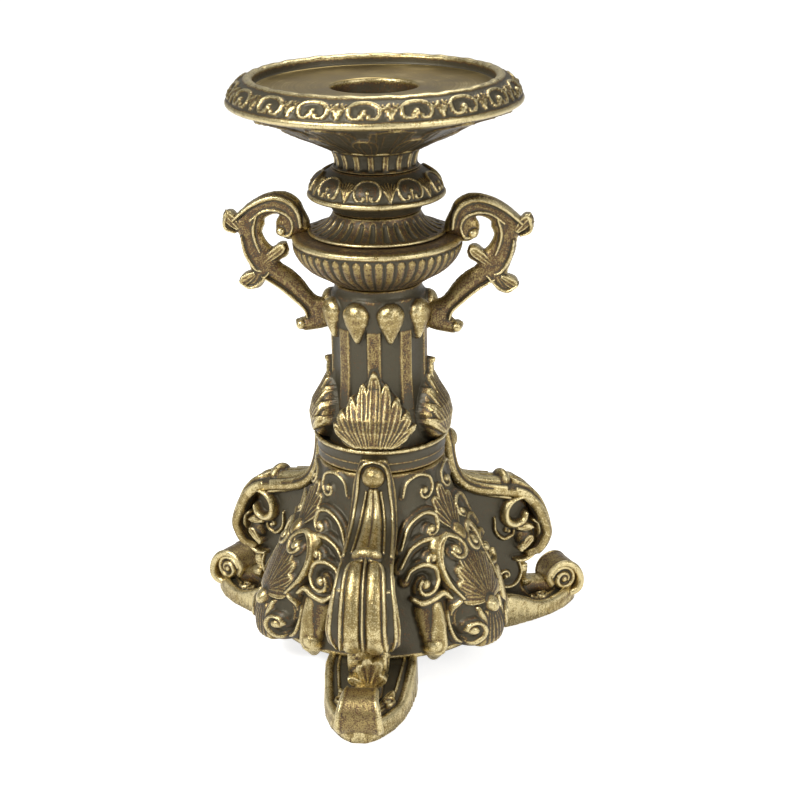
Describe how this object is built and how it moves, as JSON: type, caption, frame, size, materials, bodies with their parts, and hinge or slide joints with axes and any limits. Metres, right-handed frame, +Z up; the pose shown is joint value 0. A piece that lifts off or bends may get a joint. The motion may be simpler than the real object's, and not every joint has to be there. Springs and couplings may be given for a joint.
{
  "type": "candle stand",
  "caption": "Gilded cast-metal table candle stand: wide dish with an egg border and tealight well, fluted column with scroll handles, tripod of scrolled legs.",
  "frame": {"origin": "middle of the footprint's box, on the floor", "axes": "+Z up, the front leg towards -Y, the two handles along X"},
  "size_m": [0.206, 0.185, 0.29],
  "materials": {
    "dish_gilding": "satin, brushed brownish gold",
    "gilding": "satin, gold rubbed over a dark ground",
    "patina": "satin, dark olive-brown patina with gold on the raised edges",
    "steel": "satin",
    "felt": "matt felt"
  },
  "bodies": {
    "root": {"dish": "dish_gilding", "leaf_cup": "patina", "neck_spool": "patina", "bell_collar": "patina", "reeded_flare": "gilding", "gadroon_bowl": "gilding", "column": "patina", "collar": "patina", "handle_right": "gilding", "handle_dowel_right_1": "steel", "handle_dowel_right_2": "steel", "handle_left": "gilding", "handle_dowel_left_1": "steel", "handle_dowel_left_2": "steel", "tripod_body": "patina", "leg_front": "gilding", "leg_bolt_front_1": "steel", "leg_bolt_front_2": "steel", "felt_pad_front": "felt", "leg_right": "gilding", "leg_bolt_right_1": "steel", "leg_bolt_right_2": "steel", "felt_pad_right": "felt", "leg_left": "gilding", "leg_bolt_left_1": "steel", "leg_bolt_left_2": "steel", "felt_pad_left": "felt", "panel_right": "patina", "panel_screw_right_1": "steel", "panel_screw_right_2": "steel", "panel_back": "patina", "panel_screw_back_1": "steel", "panel_screw_back_2": "steel", "panel_left": "patina", "panel_screw_left_1": "steel", "panel_screw_left_2": "steel", "tie_rod": "steel", "rod_washer": "steel", "rod_nut": "steel"}
  },
  "joints": []
}
